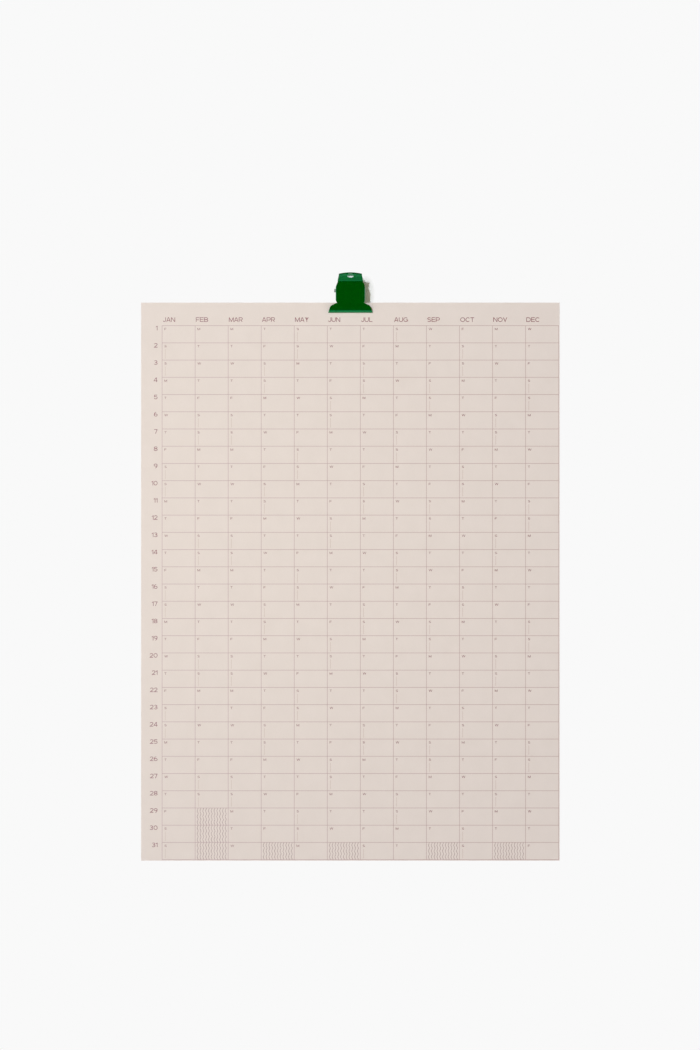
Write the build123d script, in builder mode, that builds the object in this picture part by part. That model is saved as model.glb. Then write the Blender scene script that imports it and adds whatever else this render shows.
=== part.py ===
# A year-to-view wall calendar: one large printed sheet that hangs from a sprung steel bulldog clip.
# Millimetres. X runs to the right, Y runs from the front of the sheet to the wall, Z is up.
# The origin is the middle of the hanging hole in the clip's rear lever.
from build123d import *
from math import asin, atan2, cos, degrees, radians, sin, sqrt
import os

# The sheet
sheet_width = 457.2
sheet_height = 609.6
sheet_thickness = 0.4

# The printed grid: a column for each month, a row for each day
day_count = 31
left_margin = 22.9
top_margin = 25.1
trim_margin = 1.1
rule_width = 0.4
ink_thickness = 0.05

# The year: a common one whose first day is a Friday, where Monday is 0
days_in_month = (31, 28, 31, 30, 31, 30, 31, 31, 30, 31, 30, 31)
first_weekday = 4
saturday = 5
days_in_week = 7

# The mark down the side of a weekend day
mark_inset = 3.5
mark_drop = 7.0
mark_length = 10.2
mark_width = 0.25

# The waves over the blocked days that a short month doesn't have
wave_count = 11
wave_inset = 2.75
wave_width = 0.4
wave_swing = 0.6
bends_per_day = 6

# The clip's pressed steel jaws
steel = 0.8
jaw_depth = 5.1
grip_depth = 11.2
grip_play = 0.05

# The lips that press on the sheet
lip_half_width = 24.3
shoulder_half_width = 21.8
shoulder_drop = 3.85
shoulder_radius = 3.5
neck_radius = 1.0

# The ears that carry the pin
ear_half_width = 16.1
ear_bend_radius = 1.2
ear_radius = 3.8
ear_top = 15.6
ear_top_sweep = 6.4
ear_foot = 3.0
ear_foot_sweep = 4.2
ear_play = 0.2
pin_height = 13.2

# The finger levers
lever_half_width = 13.9
lever_height = 22.3
lever_bend_radius = 2.1
lever_angle = 52
lever_length = 12.2
tip_half_width = 12.4
tip_crown = 2.2
rolled_edge_radius = 0.85
hole_radius = 3.75
hole_reach = 7.6

# The hinge pin
pin_radius = 1.5
pin_play = 0.05
pin_end_play = 0.1
pin_head_radius = 2.0
pin_head_length = 1.6
pin_end_length = 0.5
pin_chamfer = 0.3

# The torsion spring
wire_radius = 0.65
coil_radius = 2.6
coil_turns = 6
coil_gap = 0.12
coil_step_angle = 24
wire_sides = 8
arm_length = 9.0
arm_play = 0.05

# Where the sheet hangs, worked out from the rear lever's hole
lean = radians(lever_angle)
bend_middle_radius = lever_bend_radius + steel / 2
lever_root_depth = jaw_depth + steel / 2 + bend_middle_radius * (1 - cos(lean))
lever_root_height = lever_height + bend_middle_radius * sin(lean)
sheet_y = -(lever_root_depth + hole_reach * sin(lean))
sheet_top = -(lever_root_height + hole_reach * cos(lean))
pin_z = sheet_top + pin_height

# Where the grid lies on the sheet
grid_left = left_margin - sheet_width / 2
grid_top = sheet_top - top_margin
grid_width = sheet_width - left_margin - trim_margin
grid_height = sheet_height - top_margin - trim_margin
column_pitch = grid_width / len(days_in_month)
row_pitch = grid_height / day_count
print_plane = Plane(
    origin=(0, sheet_y - sheet_thickness / 2, 0), x_dir=(1, 0, 0), z_dir=(0, -1, 0)
)

os.makedirs("parts", exist_ok=True)


# The sheet of heavy paper, its top edge level with the clip's neck
with BuildPart() as calendar_sheet:
    with BuildSketch(Plane.XY.offset(sheet_top - sheet_height)):
        with Locations((0, sheet_y)):
            Rectangle(sheet_width, sheet_thickness)
    extrude(amount=sheet_height)

calendar_sheet.part.label = "calendar_sheet"
export_step(calendar_sheet.part, "parts/calendar_sheet.step")


# The rules between the months, from the top of the grid to its foot
with BuildPart() as month_rules:
    with BuildSketch(print_plane):
        with Locations((grid_left + grid_width / 2, grid_top - grid_height / 2)):
            with GridLocations(column_pitch, 0, len(days_in_month) + 1, 1):
                Rectangle(rule_width, grid_height + rule_width)
    extrude(amount=ink_thickness)

month_rules.part.label = "month_rules"
export_step(month_rules.part, "parts/month_rules.step")


# The rules between the days, printed across the months' rules
with BuildPart() as day_rules:
    with BuildSketch(print_plane.offset(ink_thickness)):
        with Locations((grid_left + grid_width / 2, grid_top - grid_height / 2)):
            with GridLocations(0, row_pitch, 1, day_count + 1):
                Rectangle(grid_width + rule_width, rule_width)
    extrude(amount=ink_thickness)

day_rules.part.label = "day_rules"
export_step(day_rules.part, "parts/day_rules.step")


# The marks on the weekend days
mark_spots = []
day_of_year = 0
for month, days in enumerate(days_in_month):
    mark_x = grid_left + month * column_pitch + mark_inset
    for day in range(days):
        weekday = (first_weekday + day_of_year) % days_in_week
        day_of_year += 1
        if weekday >= saturday:
            mark_spots.append((mark_x, grid_top - day * row_pitch - mark_drop - mark_length / 2))

with BuildPart() as weekend_marks:
    with BuildSketch(print_plane):
        with Locations(mark_spots):
            Rectangle(mark_width, mark_length)
    extrude(amount=ink_thickness)

weekend_marks.part.label = "weekend_marks"
export_step(weekend_marks.part, "parts/weekend_marks.step")


# The waves of ink over the blocked days, each one line down to the foot of the grid
wave_pitch = (column_pitch - 2 * wave_inset) / (wave_count - 1)
bend_pitch = row_pitch / bends_per_day


def wave_outline(x, top, bends):
    """Return the corners of one zigzag line of ink that runs down about x from top."""
    left_side = []
    for bend in range(bends + 1):
        swing = wave_swing if bend % 2 == 0 else -wave_swing
        left_side.append((x + swing - wave_width / 2, top - bend * bend_pitch))
    right_side = [(corner_x + wave_width, height) for corner_x, height in left_side]
    return left_side + right_side[::-1]


waves = []
for month, days in enumerate(days_in_month):
    if days == day_count:
        continue
    month_left = grid_left + month * column_pitch
    bends = bends_per_day * (day_count - days)
    for wave in range(wave_count):
        wave_x = month_left + wave_inset + wave * wave_pitch
        corners = wave_outline(wave_x, grid_top - days * row_pitch, bends)
        waves.append(print_plane * Face(Wire.make_polygon(corners)))

with BuildPart() as blocked_days:
    extrude(waves, amount=ink_thickness)

blocked_days.part.label = "blocked_days"
export_step(blocked_days.part, "parts/blocked_days.step")


def make_jaw(facing, ear_face, pin_hole_radius):
    """Press one jaw of the clip. facing is -1 for the front jaw and 1 for the rear one, and
    ear_face is the distance from the clip's middle to the outer face of an ear."""
    sheet_edge = (0, sheet_y, sheet_top)
    side_plane = Plane(origin=sheet_edge, x_dir=(0, facing, 0), z_dir=(facing, 0, 0))
    front_plane = Plane(origin=sheet_edge, x_dir=(-facing, 0, 0), z_dir=(0, facing, 0))
    plan_plane = Plane(origin=sheet_edge, x_dir=(facing, 0, 0), z_dir=(0, 0, 1))
    lever_plane = Plane(
        origin=(0, sheet_y + facing * lever_root_depth, sheet_top + lever_root_height),
        x_dir=(-facing, 0, 0),
        z_dir=(0, facing * cos(lean), -sin(lean)),
    )
    lip_start = sheet_thickness / 2 + grip_play
    back_face = jaw_depth + steel
    ear_inside = ear_face - steel
    bend_start = ear_inside - ear_bend_radius
    bend_edge = jaw_depth - ear_bend_radius

    # The strip, bent at the lip and below the lever, and cut to its outline seen from the front
    with BuildPart() as strip:
        with BuildSketch(side_plane):
            with BuildLine():
                lip = JernArc(
                    start=(lip_start, steel - grip_depth),
                    tangent=(1, 0),
                    radius=jaw_depth - lip_start,
                    arc_size=90,
                )
                back = Line(lip @ 1, (jaw_depth, lever_height))
                JernArc(
                    start=back @ 1,
                    tangent=(0, 1),
                    radius=lever_bend_radius + steel,
                    arc_size=-lever_angle,
                )
                offset(amount=steel, side=Side.RIGHT)
            make_face()
        extrude(amount=lip_half_width, both=True)
        with BuildSketch(front_plane) as outline:
            with BuildLine():
                Polyline(
                    (0, -grip_depth),
                    (lip_half_width, -grip_depth),
                    (shoulder_half_width, -shoulder_drop),
                    (bend_start, 0),
                    (bend_start, ear_top),
                    (lever_half_width, lever_height),
                    (lever_half_width, lever_root_height + steel),
                    (0, lever_root_height + steel),
                )
                mirror(about=Plane.YZ)
            make_face()
            fillet(outline.vertices().group_by(Axis.Y)[1], radius=shoulder_radius)
            neck_corners = outline.vertices().filter_by(lambda corner: abs(corner.Y) < neck_radius / 2)
            fillet(neck_corners, radius=neck_radius)
        extrude(amount=lever_root_depth + steel, mode=Mode.INTERSECT)

    # The ears, folded round from the back of the jaw, which they join in a sweep above and below,
    # and rounded about the pin
    with BuildPart() as ears:
        with BuildSketch(plan_plane.offset(-ear_foot_sweep)):
            with BuildLine():
                FilletPolyline(
                    (ear_inside, -ear_radius),
                    (ear_inside, jaw_depth),
                    (-ear_inside, jaw_depth),
                    (-ear_inside, -ear_radius),
                    radius=ear_bend_radius,
                )
                offset(amount=steel, side=Side.RIGHT)
            make_face()
        extrude(amount=ear_foot_sweep + ear_top + ear_top_sweep)
        with BuildSketch(side_plane):
            with Locations((0, pin_height)):
                Circle(ear_radius)
            with BuildLine():
                Line((bend_edge, ear_foot), (bend_edge, ear_top))
            make_hull()
            with BuildLine():
                above = TangentArc(
                    (back_face, ear_top + ear_top_sweep), (bend_edge, ear_top), tangent=(0, -1)
                )
                below = TangentArc(
                    (back_face, ear_foot - ear_foot_sweep), (bend_edge, ear_foot), tangent=(0, 1)
                )
                Line(above @ 0, below @ 0)
                Line(above @ 1, below @ 1)
            make_face()
        extrude(amount=ear_face, both=True, mode=Mode.INTERSECT)

    # The finger lever, with its round hole and an end that is rolled outwards
    with BuildPart() as lever:
        with BuildSketch(lever_plane):
            with BuildLine():
                tip_corner = (tip_half_width, lever_length - tip_crown)
                Polyline(
                    (-tip_half_width, lever_length - tip_crown),
                    (-lever_half_width, 0),
                    (lever_half_width, 0),
                    tip_corner,
                )
                ThreePointArc(
                    tip_corner, (0, lever_length), (-tip_half_width, lever_length - tip_crown)
                )
            make_face()
            with Locations((0, hole_reach)):
                Circle(hole_radius, mode=Mode.SUBTRACT)
        extrude(amount=steel / 2, both=True)
        with BuildLine(lever_plane.offset(rolled_edge_radius - steel / 2)) as tip:
            ThreePointArc(
                (-tip_half_width, lever_length - tip_crown),
                (0, lever_length),
                (tip_half_width, lever_length - tip_crown),
            )
        with BuildSketch(Plane(origin=tip.line @ 0, z_dir=tip.line % 0)):
            Circle(rolled_edge_radius)
        sweep(path=tip.line)

    with BuildPart() as jaw:
        add(strip.part)
        add(ears.part)
        add(lever.part)
        with BuildSketch(side_plane):
            with Locations((0, pin_height)):
                Circle(pin_hole_radius)
        extrude(amount=ear_face, both=True, mode=Mode.SUBTRACT)

    return jaw


# The front jaw, which turns on the pin with its ears outside the rear jaw's
front_jaw = make_jaw(-1, ear_half_width, pin_radius + pin_play)
front_jaw.part.label = "front_jaw"
export_step(front_jaw.part, "parts/front_jaw.step")

# The rear jaw, whose ears nest inside the front jaw's and hold the pin
rear_jaw = make_jaw(1, ear_half_width - steel - ear_play, pin_radius)
rear_jaw.part.label = "rear_jaw"
export_step(rear_jaw.part, "parts/rear_jaw.step")


# The hinge pin: a round head at the left, a shank through the four ears, a plain end at the right
head_x = -(ear_half_width + pin_end_play + pin_head_length)
shank_length = 2 * ear_half_width + 2 * pin_end_play + pin_end_length

with BuildPart() as hinge_pin:
    head_plane = Plane(origin=(head_x, sheet_y, pin_z), z_dir=(1, 0, 0))
    with BuildSketch(head_plane):
        Circle(pin_head_radius)
    extrude(amount=pin_head_length)
    with BuildSketch(head_plane.offset(pin_head_length)):
        Circle(pin_radius)
    extrude(amount=shank_length)
    pin_ends = hinge_pin.faces().filter_by(Axis.X).sort_by(Axis.X)
    chamfer([pin_ends[0].edge(), pin_ends[-1].edge()], length=pin_chamfer)

hinge_pin.part.label = "hinge_pin"
export_step(hinge_pin.part, "parts/hinge_pin.step")


# The torsion spring: a close coil round the pin whose two arms press the levers apart
arm_reach = jaw_depth - arm_play
arm_edge_radius = coil_radius + wire_radius
arm_lean = degrees(
    asin(arm_reach / sqrt(arm_edge_radius**2 + arm_length**2))
    - atan2(arm_edge_radius, arm_length)
)
coil_pitch = 2 * wire_radius + coil_gap
coil_angle = 360 * coil_turns + 180 - 2 * arm_lean
coil_steps = round(coil_angle / coil_step_angle)
coil_length = coil_pitch * coil_angle / 360


def coil_point(share):
    """Return a point of the wire's middle line, at a share of the way along the coil."""
    turn = radians(180 + arm_lean + share * coil_angle)
    return Vector(
        coil_length * (share - 0.5),
        sheet_y + coil_radius * cos(turn),
        pin_z + coil_radius * sin(turn),
    )


def arm_end(side):
    """Return the free end of the front arm, for a side of -1, or of the rear arm, for 1."""
    root = coil_point(0 if side < 0 else 1)
    return root + Vector(
        0, side * arm_length * sin(radians(arm_lean)), arm_length * cos(radians(arm_lean))
    )


with BuildPart() as torsion_spring:
    with BuildLine() as wire:
        coil_points = [coil_point(step / coil_steps) for step in range(coil_steps + 1)]
        Polyline(arm_end(-1), *coil_points, arm_end(1))
    with BuildSketch(Plane(origin=wire.line @ 0, z_dir=wire.line % 0)):
        RegularPolygon(wire_radius, wire_sides)
    sweep(path=wire.line, transition=Transition.RIGHT)

torsion_spring.part.label = "torsion_spring"
export_step(torsion_spring.part, "parts/torsion_spring.step")
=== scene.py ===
from math import asin, atan2, cos, pi, radians, sin, sqrt

import bmesh
import bpy
from mathutils import Matrix, Vector


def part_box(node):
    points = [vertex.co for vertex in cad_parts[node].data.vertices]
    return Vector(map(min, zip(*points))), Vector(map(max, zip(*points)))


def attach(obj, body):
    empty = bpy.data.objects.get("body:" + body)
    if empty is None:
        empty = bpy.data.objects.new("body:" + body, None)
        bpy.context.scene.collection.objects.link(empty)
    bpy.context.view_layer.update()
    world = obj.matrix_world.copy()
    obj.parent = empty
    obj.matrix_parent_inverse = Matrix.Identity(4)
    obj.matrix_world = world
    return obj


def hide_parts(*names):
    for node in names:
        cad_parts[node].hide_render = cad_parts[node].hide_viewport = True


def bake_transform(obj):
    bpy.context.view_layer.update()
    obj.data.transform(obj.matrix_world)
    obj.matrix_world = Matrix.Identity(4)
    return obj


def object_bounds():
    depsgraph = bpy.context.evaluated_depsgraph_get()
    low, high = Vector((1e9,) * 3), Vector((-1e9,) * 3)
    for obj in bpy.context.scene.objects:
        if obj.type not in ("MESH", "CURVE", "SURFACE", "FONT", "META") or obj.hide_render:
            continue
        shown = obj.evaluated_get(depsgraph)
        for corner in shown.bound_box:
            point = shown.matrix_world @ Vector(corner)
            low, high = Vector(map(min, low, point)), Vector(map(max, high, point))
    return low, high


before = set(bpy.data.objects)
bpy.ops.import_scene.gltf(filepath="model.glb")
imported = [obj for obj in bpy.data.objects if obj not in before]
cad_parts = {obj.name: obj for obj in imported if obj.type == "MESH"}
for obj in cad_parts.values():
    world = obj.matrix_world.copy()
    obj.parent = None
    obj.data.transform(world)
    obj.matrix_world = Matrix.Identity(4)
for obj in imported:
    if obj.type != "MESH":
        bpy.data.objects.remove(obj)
cad_low, cad_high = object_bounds()

# The bodies that pieces ride on
HANGING = "rear_half"

# Where the paper and its printed grid lie
sheet_low, sheet_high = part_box("calendar_sheet")
months_low, months_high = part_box("month_rules")
days_low, days_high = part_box("day_rules")
paper_face = sheet_low.y
ink_thickness = 0.00005
rule_width = 0.0004
days_in_month = (31, 28, 31, 30, 31, 30, 31, 31, 30, 31, 30, 31)
month_names = ("JAN", "FEB", "MAR", "APR", "MAY", "JUN", "JUL", "AUG", "SEP", "OCT", "NOV", "DEC")
rows = 31
first_weekday = 4
weekday_initials = "MTWTFSS"

# The type in capital heights: its weight, its spacing, how far a stroke runs past the line that it
# is trimmed to, the slack of that trim, and half the step between the two bowls at a letter's waist
type_weight = 0.13
letter_gap = 0.1
overshoot = 0.2
trim_slack = 0.002
waist_step = 0.02

# How much deeper each stroke of a letter lies than the one before, in depths of ink
layer_step = 0.2

# The turn between two points of a curve, in degrees, in the large type and in the initials
large_type_turn = 18
small_type_turn = 45

# The type's sizes and its places in the grid
month_capital = 0.0049
month_inset = 0.0008
month_rise = 0.0041
day_capital = 0.0048
day_inset = 0.00505
day_drop = 0.0051
initial_capital = 0.0024
initial_stretch = 1.15
initial_inset = 0.0025
initial_drop = 0.0049

column_pitch = (months_high.x - months_low.x - rule_width) / len(days_in_month)
row_pitch = (days_high.z - days_low.z - rule_width) / rows
grid_left = months_low.x + rule_width / 2
grid_top = days_high.z - rule_width / 2

# The torsion spring, as the clip's maker winds it
wire_radius = 0.00065
coil_radius = 0.0026
coil_turns = 6
coil_gap = 0.00012
arm_length = 0.009
arm_reach = 0.00505
wire_sides = 16
degrees_a_step = 10

# The pressings' and the pin's rounded edges, and the angles that count as flat and as sharp there
jaw_edge = 0.00012
pin_edge = 0.0001
weld_distance = 0.000001
flat_angle = 0.6
sharp_angle = 40

# The finishes, each between two colours, its darker and its lighter one, and the enamel's gloss
paper_colours = ((0.775, 0.703, 0.670), (0.811, 0.738, 0.705))
enamel_colours = ((0.0, 0.075, 0.0), (0.0, 0.08, 0.0))
enamel_sheen = (0.03, 1.0, 0.45, 1)
steel_colours = ((0.52, 0.54, 0.55), (0.72, 0.73, 0.74))

# The inks, each between its colours at the sheet's left and right edges, and how unevenly they take
rule_colours = ((0.52, 0.372, 0.41), (0.48, 0.317, 0.315))
mark_colours = ((0.59, 0.49, 0.43), (0.47, 0.29, 0.27))
wave_colours = ((0.33, 0.19, 0.235), (0.32, 0.165, 0.17))
type_colours = ((0.345, 0.17, 0.2), (0.235, 0.05, 0.06))
uneven_ink = 0.2

# The values that most of a noise lies between
noise_low = 0.3
noise_high = 0.7

# The photograph's frame and the sheet in it, in its pixels
photo_height = 1050
photo_middle = (350, 525)
sheet_middle = (350.4, 581.65)
sheet_pixels = 558.0
camera_distance = 5.0

# The studio's wall and floor, and the share of plain white in the floor that the camera sees
backdrop_white = 0.9473
plaster_white = (1.0, 1.0, 1.02, 1)
wall_gap = 0.0002
wall_reach = 3.0
floor_drop = 0.36
floor_grey = (0.85, 0.85, 0.85, 1)
floor_glow = 0.85

# The ovals of the wall that keep the clip's shadow: beside the clip, behind its hole and behind it.
# Each has its middle, its height over its width, and the half widths where its fade starts and ends
shadow_ovals = (
    ((0.0175, -0.0178), 2.0, 0.0065, 0.01),
    ((0.0, -0.0005), 1.0, 0.0028, 0.0036),
    ((0.0, -0.026), 2.0, 0.011, 0.0135),
)

# What the clip's gloss mirrors: the floor far from the wall, behind the camera, above and right
mirrored_floor = 0.03
mirrored_behind_camera = 0.015
mirrored_ceiling = 0.12
mirrored_right = 0.3

# The light from all round, from the wall's side and from the camera's
light_by_wall = (0.85, 0.85, 0.85)
light_by_camera = (0.15, 0.085, 0.03)

# The lamps: how far each stands from what it lights, its size, its power and its colour
key_offset = Vector((-1.25, -4.75, 1.21))
key_size = 0.3
key_power = 138
key_colour = (0.98, 1.05, 1.13)
sheet_high_left = Vector((-0.2, paper_face, -0.2))
fill_offset = Vector((0, -0.8, 0))
fill_size = 0.4
fill_power = 1.1
fill_colour = (1.0, 0.92, 0.6)


def link_mesh(name, bm, material):
    """Link a finished mesh to the scene as an object."""
    mesh = bpy.data.meshes.new(name)
    bm.to_mesh(mesh)
    bm.free()
    mesh.materials.append(material)
    linked = bpy.data.objects.new(name, mesh)
    bpy.context.scene.collection.objects.link(linked)
    return linked


def add_piece(name, bm, material, body=HANGING):
    """Link a finished mesh as a piece of the object, which rides on a body if one is given."""
    piece = link_mesh(name, bm, material)
    if body:
        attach(piece, body)
    return piece


def new_material(name):
    """Return a material, its node tree and its main shader."""
    material = bpy.data.materials.new(name)
    material.use_nodes = True
    return material, material.node_tree, material.node_tree.nodes["Principled BSDF"]


def noise_on_object(tree, scale, detail=4.0, stretch=(1, 1, 1)):
    """Return the value of a noise that is fixed to the object, with scale grains a metre."""
    coordinates = tree.nodes.new("ShaderNodeTexCoord")
    mapping = tree.nodes.new("ShaderNodeMapping")
    mapping.inputs["Scale"].default_value = stretch
    noise = tree.nodes.new("ShaderNodeTexNoise")
    noise.inputs["Scale"].default_value = scale
    noise.inputs["Detail"].default_value = detail
    tree.links.new(coordinates.outputs["Object"], mapping.inputs["Vector"])
    tree.links.new(mapping.outputs["Vector"], noise.inputs["Vector"])
    return noise.outputs["Fac"]


def ramp_between(tree, value, low, high, dark, light):
    """Return a colour that runs from dark to light as value runs from low to high."""
    ramp = tree.nodes.new("ShaderNodeValToRGB")
    ramp.color_ramp.elements[0].position = low
    ramp.color_ramp.elements[0].color = (*dark, 1)
    ramp.color_ramp.elements[1].position = high
    ramp.color_ramp.elements[1].color = (*light, 1)
    tree.links.new(value, ramp.inputs["Fac"])
    return ramp.outputs["Color"]


def map_range(tree, value, low, high, to_low, to_high):
    """Return value mapped from one range to another, clamped to its ends."""
    node = tree.nodes.new("ShaderNodeMapRange")
    node.inputs["From Min"].default_value = low
    node.inputs["From Max"].default_value = high
    node.inputs["To Min"].default_value = to_low
    node.inputs["To Max"].default_value = to_high
    tree.links.new(value, node.inputs["Value"])
    return node.outputs["Result"]


def place_along(tree, axis, coordinates="Object"):
    """Return where a point lies along an axis of the object or of the texture's own coordinates."""
    source = tree.nodes.new("ShaderNodeTexCoord")
    split = tree.nodes.new("ShaderNodeSeparateXYZ")
    tree.links.new(source.outputs[coordinates], split.inputs["Vector"])
    return split.outputs[axis]


def combine(tree, operation, first, second):
    """Return the result of a maths operation on two values."""
    node = tree.nodes.new("ShaderNodeMath")
    node.operation = operation
    tree.links.new(first, node.inputs[0])
    tree.links.new(second, node.inputs[1])
    return node.outputs["Value"]


def largest(tree, values):
    """Return the largest of several values."""
    found = values[0]
    for value in values[1:]:
        found = combine(tree, "MAXIMUM", found, value)
    return found


def add_bump(tree, shader, height, distance, strength=1.0):
    """Press a height into the shader's surface."""
    bump = tree.nodes.new("ShaderNodeBump")
    bump.inputs["Distance"].default_value = distance
    bump.inputs["Strength"].default_value = strength
    tree.links.new(height, bump.inputs["Height"])
    tree.links.new(bump.outputs["Normal"], shader.inputs["Normal"])


def paper_material():
    """Heavy uncoated paper: warm white, matt, with a cloudy formation and fine fibres."""
    material, tree, shader = new_material("paper")
    clouds = noise_on_object(tree, 60, detail=6)
    fibres = noise_on_object(tree, 1400, detail=5, stretch=(1, 1, 0.6))
    cloud_share = map_range(tree, clouds, 0.0, 1.0, 0.0, 0.45)
    fibre_share = map_range(tree, fibres, 0.0, 1.0, 0.0, 0.55)
    formation = combine(tree, "ADD", cloud_share, fibre_share)
    colour = ramp_between(tree, formation, noise_low, noise_high, *paper_colours)
    tree.links.new(colour, shader.inputs["Base Color"])
    shader.inputs["Roughness"].default_value = 0.92
    shader.inputs["Specular IOR Level"].default_value = 0.2
    add_bump(tree, shader, fibres, 0.00006, 0.5)
    return material


def ink_material(name, colours):
    """Matt print that takes unevenly on uncoated paper, and is darker towards the sheet's right edge.
    """
    material, tree, shader = new_material(name)
    across = map_range(tree, place_along(tree, "X"), sheet_low.x, sheet_high.x, 0.0, 1.0)
    grain = noise_on_object(tree, 2200, detail=3)
    unevenness = map_range(tree, grain, 0.35, 0.65, -uneven_ink, uneven_ink)
    take = combine(tree, "ADD", across, unevenness)
    colour = ramp_between(tree, take, 0.0, 1.0, *colours)
    tree.links.new(colour, shader.inputs["Base Color"])
    shader.inputs["Roughness"].default_value = 0.8
    shader.inputs["Specular IOR Level"].default_value = 0.2
    return material


def enamel_material():
    """Deep green gloss enamel on pressed steel, with a faint orange peel."""
    material, tree, shader = new_material("green_enamel")
    depth = noise_on_object(tree, 300, detail=3)
    colour = ramp_between(tree, depth, noise_low, noise_high, *enamel_colours)
    tree.links.new(colour, shader.inputs["Base Color"])
    sheen = noise_on_object(tree, 900, detail=2)
    roughness = map_range(tree, sheen, noise_low, noise_high, 0.1, 0.14)
    tree.links.new(roughness, shader.inputs["Roughness"])
    shader.inputs["IOR"].default_value = 2.4
    shader.inputs["Specular Tint"].default_value = enamel_sheen
    add_bump(tree, shader, noise_on_object(tree, 450, detail=1), 0.000004, 0.3)
    return material


def bright_steel_material():
    """Dull zinc-plated steel wire and rod, drawn along the clip's width."""
    material, tree, shader = new_material("bright_steel")
    drawn = noise_on_object(tree, 3000, detail=3, stretch=(0.08, 1, 1))
    colour = ramp_between(tree, drawn, noise_low, noise_high, *steel_colours)
    tree.links.new(colour, shader.inputs["Base Color"])
    roughness = map_range(tree, drawn, noise_low, noise_high, 0.26, 0.42)
    tree.links.new(roughness, shader.inputs["Roughness"])
    shader.inputs["Metallic"].default_value = 0.55
    add_bump(tree, shader, drawn, 0.000008, 0.5)
    return material


def dress(node, material):
    """Give a CAD node its material."""
    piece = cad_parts[node]
    piece.data.materials.clear()
    piece.data.materials.append(material)
    return piece


def soften(piece, bevel_width):
    """Weld a pressing's facets and round its sheared edges, as tumbling and paint do."""
    for face in piece.data.polygons:
        face.use_smooth = True
    weld = piece.modifiers.new("weld", "WELD")
    weld.merge_threshold = weld_distance
    plain_faces = piece.modifiers.new("plain_faces", "DECIMATE")
    plain_faces.decimate_type = "DISSOLVE"
    plain_faces.angle_limit = radians(flat_angle)
    bevel = piece.modifiers.new("sheared_edges", "BEVEL")
    bevel.width = bevel_width
    bevel.segments = 2
    bevel.limit_method = "ANGLE"
    bevel.angle_limit = radians(sharp_angle)
    bevel.use_clamp_overlap = True
    bevel.harden_normals = True
    weighted = piece.modifiers.new("even_faces", "WEIGHTED_NORMAL")
    weighted.keep_sharp = True


def bow(middle, across, up, start, end, turn):
    """Return points along an oval arc between two angles, about turn degrees apart."""
    steps = max(2, round(abs(end - start) / turn))
    angles = [radians(start + (end - start) * step / steps) for step in range(steps + 1)]
    return [(middle[0] + across * cos(angle), middle[1] + up * sin(angle)) for angle in angles]


def slant(foot, head):
    """Return a straight stroke that crosses the baseline at foot and the cap line at head."""
    run = overshoot * (head - foot)
    return [(foot - run, -overshoot), (head + run, 1 + overshoot)]


def upright(x):
    """Return an upright stroke."""
    return slant(x, x)


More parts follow.
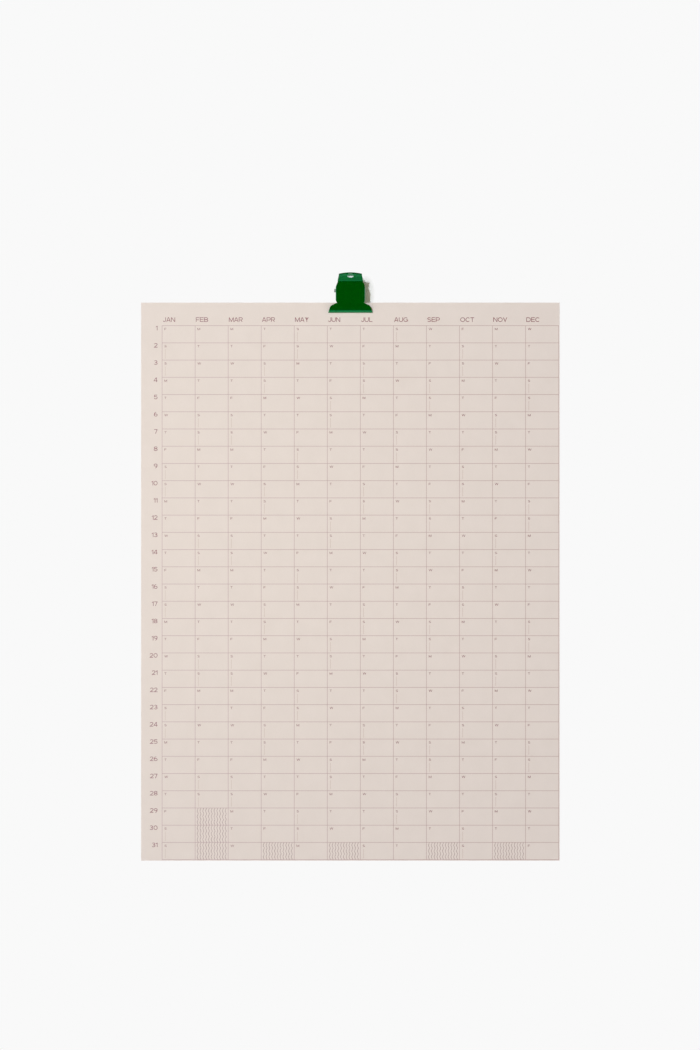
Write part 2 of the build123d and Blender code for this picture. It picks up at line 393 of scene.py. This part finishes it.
def type_strokes(turn):
    """Return each character's width and its strokes' middle lines, for capitals 1 high."""
    half = type_weight / 2
    base, middle, top = half, 0.5, 1 - half
    stem = upright(half)
    # The two bowls of a letter overlap at its waist, and nowhere run along each other
    waist_high, waist_low = middle + waist_step, middle - waist_step
    high, low = (top + waist_high) / 2, (base + waist_low) / 2
    bend = (top - waist_high) / 2
    return {
        "A": (0.95, [slant(0.075, 0.44), slant(0.875, 0.51), [(0.2, 0.3), (0.75, 0.3)]]),
        "B": (0.9, [
            stem,
            [(half, top)] + bow((0.55, high), 0.25, bend, 90, -90, turn) + [(half, waist_high)],
            [(half, waist_low)] + bow((0.58, low), 0.255, bend, 90, -90, turn) + [(half, base)],
        ]),
        "C": (0.98, [bow((0.51, 0.5), 0.51 - half, 0.5 - half, 42, 318, turn)]),
        "D": (0.98, [
            stem,
            [(half, top)] + bow((0.44, 0.5), 0.54 - half, 0.5 - half, 90, -90, turn) + [(half, base)],
        ]),
        "E": (0.82, [
            stem,
            [(half, top), (0.8, top)],
            [(half, middle), (0.74, middle)],
            [(half, base), (0.82, base)],
        ]),
        "F": (0.8, [stem, [(half, top), (0.8, top)], [(half, 0.46), (0.72, 0.46)]]),
        "G": (1.0, [
            bow((0.51, 0.5), 0.51 - half, 0.5 - half, 42, 335, turn),
            [(0.56, 0.46), (1 - half, 0.46), (1 - half, 0.14)],
        ]),
        "J": (0.68, [
            [(0.68 - half, 1 + overshoot)] + bow((0.34, 0.36), 0.34 - half, 0.36 - half, 0, -165, turn)
        ]),
        "L": (0.72, [[(half, 1 + overshoot), (half, base), (0.72, base)]]),
        "M": (1.05, [stem, upright(1.05 - half), slant(0.58, 0.06), slant(0.47, 0.99)]),
        "N": (0.9, [stem, upright(0.9 - half), slant(0.83, 0.07)]),
        "O": (1.08, [bow((0.54, 0.5), 0.54 - half, 0.5 - half, 0, 360, turn)]),
        "P": (0.88, [
            stem,
            [(half, top)]
            + bow((0.55, (top + 0.4) / 2), 0.33 - half, (top - 0.4) / 2, 90, -90, turn)
            + [(half, 0.4)],
        ]),
        "R": (0.88, [
            stem,
            [(half, top)]
            + bow((0.54, (top + 0.42) / 2), 0.32 - half, (top - 0.42) / 2, 90, -90, turn)
            + [(half, 0.42)],
            [(0.46, 0.42), (0.9, -overshoot)],
        ]),
        "S": (0.9, [
            bow((0.45, high), 0.41 - half, bend, 25, 270, turn)[:-1]
            + bow((0.45, low), 0.44 - half, bend, 90, -155, turn)
        ]),
        "T": (0.84, [upright(0.42), [(0, top), (0.84, top)]]),
        "U": (0.92, [
            [(half, 1 + overshoot)]
            + bow((0.46, 0.42), 0.46 - half, 0.42 - half, 180, 360, turn)
            + [(0.92 - half, 1 + overshoot)]
        ]),
        "V": (0.92, [slant(0.5, 0.075), slant(0.42, 0.845)]),
        "W": (1.4, [slant(0.41, 0.07), slant(0.36, 0.68), slant(1.04, 0.72), slant(0.99, 1.33)]),
        "Y": (0.85, [
            upright(0.425),
            [(0.0, 1 + overshoot), (0.425, 0.42)],
            [(0.85, 1 + overshoot), (0.425, 0.42)],
        ]),
        "0": (0.88, [bow((0.44, 0.5), 0.44 - half, 0.5 - half, 0, 360, turn)]),
        "1": (0.38, [upright(0.38 - half), [(0.38 - half, top - 0.02), (0.0, 0.74)]]),
        "2": (0.8, [
            bow((0.4, 0.69), 0.39 - half, 0.31 - half, 165, -35, turn) + [(0.08, base), (0.8, base)]
        ]),
        "3": (0.82, [
            bow((0.4, high), 0.36 - half, bend, 150, -90, turn) + [(0.3, waist_high)],
            [(0.3, waist_low)] + bow((0.41, low), 0.41 - half, bend, 90, -155, turn),
        ]),
        "4": (0.86, [upright(0.62), [(0.7, 1 + overshoot), (0.06, 0.26), (0.86, 0.26)]]),
        "5": (0.82, [
            [(0.75, top), (0.16, top), (0.1, 0.5)],
            bow((0.4, 0.33), 0.42 - half, 0.33 - half, 135, -155, turn),
        ]),
        "6": (0.83, [
            bow((0.415, 0.31), 0.415 - half, 0.31 - half, 0, 360, turn),
            bow((0.646, 0.31), 0.64 - half, 0.72, 100, 183, turn),
        ]),
        "7": (0.78, [[(0.0, top), (0.7, top), (0.22, -overshoot)]]),
        "8": (0.83, [
            bow((0.415, high), 0.37 - half, bend, 0, 360, turn),
            bow((0.415, low), 0.415 - half, bend, 0, 360, turn),
        ]),
        "9": (0.83, [
            bow((0.415, 0.69), 0.415 - half, 0.31 - half, 0, 360, turn),
            bow((0.184, 0.69), 0.64 - half, 0.72, 3, -80, turn),
        ]),
    }


def cut_letter(strokes):
    """Return a character as a mesh 1 high and 1 deep, trimmed to its baseline and its cap line.

    Each stroke lies a little deeper than the one before, so no two faces coincide where they cross.
    """
    lines = bmesh.new()
    for layer, stroke in enumerate(strokes):
        points = [lines.verts.new((x, layer * layer_step, z)) for x, z in stroke]
        if (Vector(stroke[0]) - Vector(stroke[-1])).length < trim_slack:
            lines.verts.remove(points.pop())
            points.append(points[0])
        for first, second in zip(points, points[1:]):
            lines.edges.new((first, second))
    drawn = bmesh.ops.extrude_edge_only(lines, edges=lines.edges[:])["geom"]
    for part in drawn:
        if isinstance(part, bmesh.types.BMVert):
            part.co.y = 1
    walls = bpy.data.meshes.new("letter")
    lines.to_mesh(walls)
    lines.free()
    block = bpy.data.objects.new("letter", walls)
    bpy.context.scene.collection.objects.link(block)
    weight = block.modifiers.new("weight", "SOLIDIFY")
    weight.thickness = type_weight
    weight.offset = 0
    weight.use_even_offset = True
    graph = bpy.context.evaluated_depsgraph_get()
    thick = bpy.data.meshes.new_from_object(block.evaluated_get(graph))
    bpy.data.objects.remove(block)
    bpy.data.meshes.remove(walls)

    letter = bmesh.new()
    letter.from_mesh(thick)
    for line, outwards in ((-trim_slack, -1), (1 + trim_slack, 1)):
        whole = letter.verts[:] + letter.edges[:] + letter.faces[:]
        bmesh.ops.bisect_plane(
            letter, geom=whole, plane_co=(0, 0, line), plane_no=(0, 0, outwards), clear_outer=True
        )
        rims = [edge for edge in letter.edges if edge.is_boundary]
        bmesh.ops.holes_fill(letter, edges=rims)
    bmesh.ops.dissolve_limit(letter, angle_limit=radians(1), verts=letter.verts, edges=letter.edges)
    bmesh.ops.dissolve_degenerate(letter, dist=trim_slack, edges=letter.edges)
    bmesh.ops.recalc_face_normals(letter, faces=letter.faces)
    letter.to_mesh(thick)
    letter.free()
    return thick


def cut_type(characters, turn):
    """Return the width and the mesh of each character."""
    drawings = type_strokes(turn)
    marks = sorted(set(characters))
    return {mark: (drawings[mark][0], cut_letter(drawings[mark][1])) for mark in marks}


def set_words(words, type_case, cap_height, stretch=1.0):
    """Return words as one mesh of ink, from the origin to the right, and their width."""
    row = bmesh.new()
    pen = 0.0
    for mark in words:
        width, letter = type_case[mark]
        copy = letter.copy()
        copy.transform(Matrix.Translation((pen, 0, 0)))
        row.from_mesh(copy)
        bpy.data.meshes.remove(copy)
        pen += width + letter_gap
    mesh = bpy.data.meshes.new("words")
    row.to_mesh(mesh)
    row.free()
    mesh.transform(Matrix.Diagonal((cap_height * stretch, ink_thickness, cap_height, 1)))
    return mesh, (pen - letter_gap) * cap_height * stretch


def print_on_sheet(name, impressions, material):
    """Make one piece of ink on the paper from (mesh, left end, baseline height) impressions."""
    ink = bmesh.new()
    for mesh, left, base in impressions:
        copy = mesh.copy()
        copy.transform(Matrix.Translation((left, paper_face - ink_thickness, base)))
        ink.from_mesh(copy)
        bpy.data.meshes.remove(copy)
    add_piece(name, ink, material)


def spring_lean():
    """Return how far the spring's arms lean out from upright, to lie along the levers."""
    edge_radius = coil_radius + wire_radius
    reach = asin(arm_reach / sqrt(edge_radius**2 + arm_length**2))
    return reach - atan2(edge_radius, arm_length)


def wind_spring(pin_y, pin_z):
    """Wind the spring's wire round the pin: a straight arm, a close coil and a straight arm."""
    lean = spring_lean()
    coil_angle = 2 * pi * coil_turns + pi - 2 * lean
    coil_pitch = 2 * wire_radius + coil_gap
    coil_length = coil_pitch * coil_angle / (2 * pi)
    start_turn = pi + lean
    radial = Vector((0, cos(start_turn), sin(start_turn)))
    along = Vector((0, -sin(start_turn), cos(start_turn)))
    start = Vector((-coil_length / 2, pin_y, pin_z)) + coil_radius * radial

    wire = bmesh.new()
    facing = Matrix((Vector((1, 0, 0)), radial, along)).transposed().to_4x4()
    circle = bmesh.ops.create_circle(wire, cap_ends=False, segments=wire_sides, radius=wire_radius)
    ring = circle["verts"]
    bmesh.ops.transform(wire, matrix=Matrix.Translation(start) @ facing, verts=ring)
    section = wire.edges[:]
    steps = round(coil_angle / radians(degrees_a_step))
    wound = bmesh.ops.spin(
        wire,
        geom=section,
        cent=(0, pin_y, pin_z),
        axis=(1, 0, 0),
        dvec=(coil_length / steps, 0, 0),
        angle=coil_angle,
        steps=steps,
    )
    far_ring = [part for part in wound["geom_last"] if isinstance(part, bmesh.types.BMEdge)]
    end_turn = start_turn + coil_angle
    end_along = Vector((0, -sin(end_turn), cos(end_turn)))
    for ring_edges, direction in ((section, -along), (far_ring, end_along)):
        drawn = bmesh.ops.extrude_edge_only(wire, edges=ring_edges)["geom"]
        tip = [part for part in drawn if isinstance(part, bmesh.types.BMVert)]
        bmesh.ops.translate(wire, verts=tip, vec=direction * arm_length)
        rim = [part for part in drawn if isinstance(part, bmesh.types.BMEdge) and part.is_boundary]
        bmesh.ops.edgeloop_fill(wire, edges=rim)
    bmesh.ops.remove_doubles(wire, verts=wire.verts, dist=weld_distance)
    bmesh.ops.recalc_face_normals(wire, faces=wire.faces)
    for face in wire.faces:
        face.smooth = len(face.verts) == 4
    return wire, coil_length


def light_path_switch(tree, names):
    """Return 1 for a ray of any of the named kinds, and 0 for others."""
    path = tree.nodes.new("ShaderNodeLightPath")
    return largest(tree, [path.outputs[name] for name in names])


def mix_shaders(tree, factor, first, second):
    """Return a mix of two shaders."""
    mix = tree.nodes.new("ShaderNodeMixShader")
    tree.links.new(factor, mix.inputs["Fac"])
    tree.links.new(first, mix.inputs[1])
    tree.links.new(second, mix.inputs[2])
    return mix.outputs["Shader"]


def white_emission(tree):
    """Return the backdrop's plain white."""
    emission = tree.nodes.new("ShaderNodeEmission")
    emission.inputs["Color"].default_value = (backdrop_white, backdrop_white, backdrop_white, 1)
    return emission.outputs["Emission"]


def near_spot(tree, spot, stretch, inner, outer):
    """Return 1 within inner of a spot and 0 past outer, in an oval that is stretch times as high."""
    coordinates = tree.nodes.new("ShaderNodeTexCoord")
    mapping = tree.nodes.new("ShaderNodeMapping")
    mapping.inputs["Location"].default_value = (-spot[0], 0, -spot[1] / stretch)
    mapping.inputs["Scale"].default_value = (1, 0, 1 / stretch)
    tree.links.new(coordinates.outputs["Object"], mapping.inputs["Vector"])
    distance = tree.nodes.new("ShaderNodeVectorMath")
    distance.operation = "LENGTH"
    tree.links.new(mapping.outputs["Vector"], distance.inputs[0])
    return map_range(tree, distance.outputs["Value"], inner, outer, 1.0, 0.0)


def wall_material():
    """A white wall. It is seen from the front only, and keeps the clip's shadow in a few ovals."""
    material, tree, shader = new_material("wall_white")
    tree.nodes.remove(shader)
    plaster = tree.nodes.new("ShaderNodeBsdfDiffuse")
    plaster.inputs["Color"].default_value = plaster_white
    shaded = largest(tree, [near_spot(tree, *oval) for oval in shadow_ovals])
    front = mix_shaders(tree, shaded, white_emission(tree), plaster.outputs["BSDF"])
    clear = tree.nodes.new("ShaderNodeBsdfTransparent")
    geometry = tree.nodes.new("ShaderNodeNewGeometry")
    skipped = light_path_switch(tree, ("Is Shadow Ray", "Is Diffuse Ray"))
    unseen = largest(tree, (skipped, geometry.outputs["Backfacing"]))
    surface = mix_shaders(tree, unseen, front, clear.outputs["BSDF"])
    tree.links.new(surface, tree.nodes["Material Output"].inputs["Surface"])
    return material


def floor_material():
    """A pale floor that keeps a soft shadow. In the clip's gloss it darkens away from the wall."""
    material, tree, shader = new_material("floor_white")
    shader.inputs["Base Color"].default_value = floor_grey
    shader.inputs["Roughness"].default_value = 1.0
    seen = light_path_switch(tree, ("Is Camera Ray", "Is Transmission Ray"))
    glow = map_range(tree, seen, 0.0, 1.0, 0.0, floor_glow)
    lit = mix_shaders(tree, glow, shader.outputs["BSDF"], white_emission(tree))
    dusk = map_range(tree, place_along(tree, "Y"), -0.45, -0.3, mirrored_floor, backdrop_white)
    mirrored = tree.nodes.new("ShaderNodeEmission")
    tree.links.new(dusk, mirrored.inputs["Color"])
    glossy = light_path_switch(tree, ("Is Glossy Ray",))
    surface = mix_shaders(tree, glossy, lit, mirrored.outputs["Emission"])
    tree.links.new(surface, tree.nodes["Material Output"].inputs["Surface"])
    return material


def add_plane(name, corners, material):
    """Add a flat piece of the stage."""
    bm = bmesh.new()
    bm.faces.new([bm.verts.new(corner) for corner in corners])
    plane = link_mesh(name, bm, material)


def light_world():
    """Light from all round, dim from where the camera stands, and plain white to the camera."""
    world = bpy.data.worlds.new("studio")
    bpy.context.scene.world = world
    world.use_nodes = True
    tree = world.node_tree
    towards_wall = place_along(tree, "Y", "Generated")
    around = tree.nodes["Background"]
    ambient = ramp_between(tree, towards_wall, 0.0, 0.35, light_by_camera, light_by_wall)
    tree.links.new(ambient, around.inputs["Color"])
    plain = tree.nodes.new("ShaderNodeBackground")
    plain.inputs["Color"].default_value = (backdrop_white, backdrop_white, backdrop_white, 1)
    mirrored = tree.nodes.new("ShaderNodeBackground")
    depth = map_range(tree, towards_wall, -0.15, 0.35, mirrored_behind_camera, backdrop_white)
    upwards = place_along(tree, "Z", "Generated")
    ceiling = map_range(tree, upwards, 0.1, 0.5, 1.0, mirrored_ceiling)
    rightwards = place_along(tree, "X", "Generated")
    right = map_range(tree, rightwards, 0.2, 0.7, 1.0, mirrored_right)
    shade = combine(tree, "MULTIPLY", ceiling, right)
    level = combine(tree, "MULTIPLY", shade, depth)
    tree.links.new(level, mirrored.inputs["Color"])
    glossy = light_path_switch(tree, ("Is Glossy Ray", "Is Transmission Ray"))
    lighting = mix_shaders(tree, glossy, around.outputs["Background"], mirrored.outputs["Background"])
    seen = light_path_switch(tree, ("Is Camera Ray",))
    surface = mix_shaders(tree, seen, lighting, plain.outputs["Background"])
    tree.links.new(surface, tree.nodes["World Output"].inputs["Surface"])


def add_lamp(name, place, aim, size, power, colour):
    """Add a square lamp that neither the camera nor the gloss shows."""
    data = bpy.data.lights.new(name, "AREA")
    data.color = colour
    data.size = size
    data.energy = power
    lamp = bpy.data.objects.new(name, data)
    lamp.location = place
    lamp.rotation_mode = "QUATERNION"
    lamp.rotation_quaternion = (aim - place).to_track_quat("-Z", "Y")
    lamp.visible_camera = False
    lamp.visible_glossy = False
    bpy.context.scene.collection.objects.link(lamp)


# The finishes
paper = paper_material()
rule_ink = ink_material("rule_ink", rule_colours)
mark_ink = ink_material("mark_ink", mark_colours)
wave_ink = ink_material("wave_ink", wave_colours)
type_ink = ink_material("type_ink", type_colours)
enamel = enamel_material()
bright_steel = bright_steel_material()

dress("calendar_sheet", paper)
dress("month_rules", rule_ink)
dress("day_rules", rule_ink)
dress("weekend_marks", mark_ink)
dress("blocked_days", wave_ink)
for jaw in ("front_jaw", "rear_jaw"):
    soften(dress(jaw, enamel), jaw_edge)
soften(dress("hinge_pin", bright_steel), pin_edge)

# The spring, wound round the hinge pin
pin_low, pin_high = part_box("hinge_pin")
pin_middle = (pin_low + pin_high) / 2
wire, coil_length = wind_spring(pin_middle.y, pin_middle.z)
spring = add_piece("wound_spring", wire, bright_steel, body=None)
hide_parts("torsion_spring")
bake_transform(spring)

# The months' names along the top, the days' numbers down the side and the weekdays' initials
letters = cut_type("".join(month_names) + "0123456789", large_type_turn)
months_printed = []
for month, month_name in enumerate(month_names):
    word = set_words(month_name, letters, month_capital)[0]
    left = grid_left + month * column_pitch + month_inset
    months_printed.append((word, left, grid_top + month_rise))
print_on_sheet("month_names", months_printed, type_ink)

days_printed = []
for day in range(rows):
    number, width = set_words(str(day + 1), letters, day_capital)
    left = grid_left - day_inset - width
    days_printed.append((number, left, grid_top - day * row_pitch - day_drop))
print_on_sheet("day_numbers", days_printed, type_ink)

small_letters = cut_type(weekday_initials, small_type_turn)
initials = {
    mark: set_words(mark, small_letters, initial_capital, initial_stretch)[0]
    for mark in sorted(set(weekday_initials))
}
initials_printed = []
day_of_year = 0
for month, days in enumerate(days_in_month):
    left = grid_left + month * column_pitch + initial_inset
    for day in range(days):
        mark = weekday_initials[(first_weekday + day_of_year) % len(weekday_initials)]
        initials_printed.append((initials[mark], left, grid_top - day * row_pitch - initial_drop))
        day_of_year += 1
print_on_sheet("weekday_initials", initials_printed, type_ink)

# The wall behind the clip, the floor under the frame, the lights and the camera
wall_y = cad_high.y + wall_gap
floor_z = cad_low.z - floor_drop
add_plane(
    "wall",
    [(wall_reach, wall_y, wall_reach), (-wall_reach, wall_y, wall_reach),
     (-wall_reach, wall_y, floor_z), (wall_reach, wall_y, floor_z)],
    wall_material(),
)
add_plane(
    "floor",
    [(-wall_reach, -wall_reach, floor_z), (wall_reach, -wall_reach, floor_z),
     (wall_reach, wall_reach, floor_z), (-wall_reach, wall_reach, floor_z)],
    floor_material(),
)
light_world()
clip_middle = Vector((0, pin_middle.y, pin_middle.z))
add_lamp("key", clip_middle + key_offset, clip_middle, key_size, key_power, key_colour)
add_lamp("fill", sheet_high_left + fill_offset, sheet_high_left, fill_size, fill_power, fill_colour)

metres_a_pixel = (sheet_high.z - sheet_low.z) / sheet_pixels
camera_data = bpy.data.cameras.new("camera")
camera = bpy.data.objects.new("camera", camera_data)
camera.location = (
    (photo_middle[0] - sheet_middle[0]) * metres_a_pixel,
    paper_face - camera_distance,
    (sheet_low.z + sheet_high.z) / 2 + (sheet_middle[1] - photo_middle[1]) * metres_a_pixel,
)
camera.rotation_euler = (pi / 2, 0, 0)
camera_data.lens = camera_data.sensor_width * camera_distance / (photo_height * metres_a_pixel)
camera_data.clip_start = 0.1
camera_data.clip_end = 50
bpy.context.scene.collection.objects.link(camera)
bpy.context.scene.camera = camera
bpy.context.scene.view_settings.view_transform = "Standard"
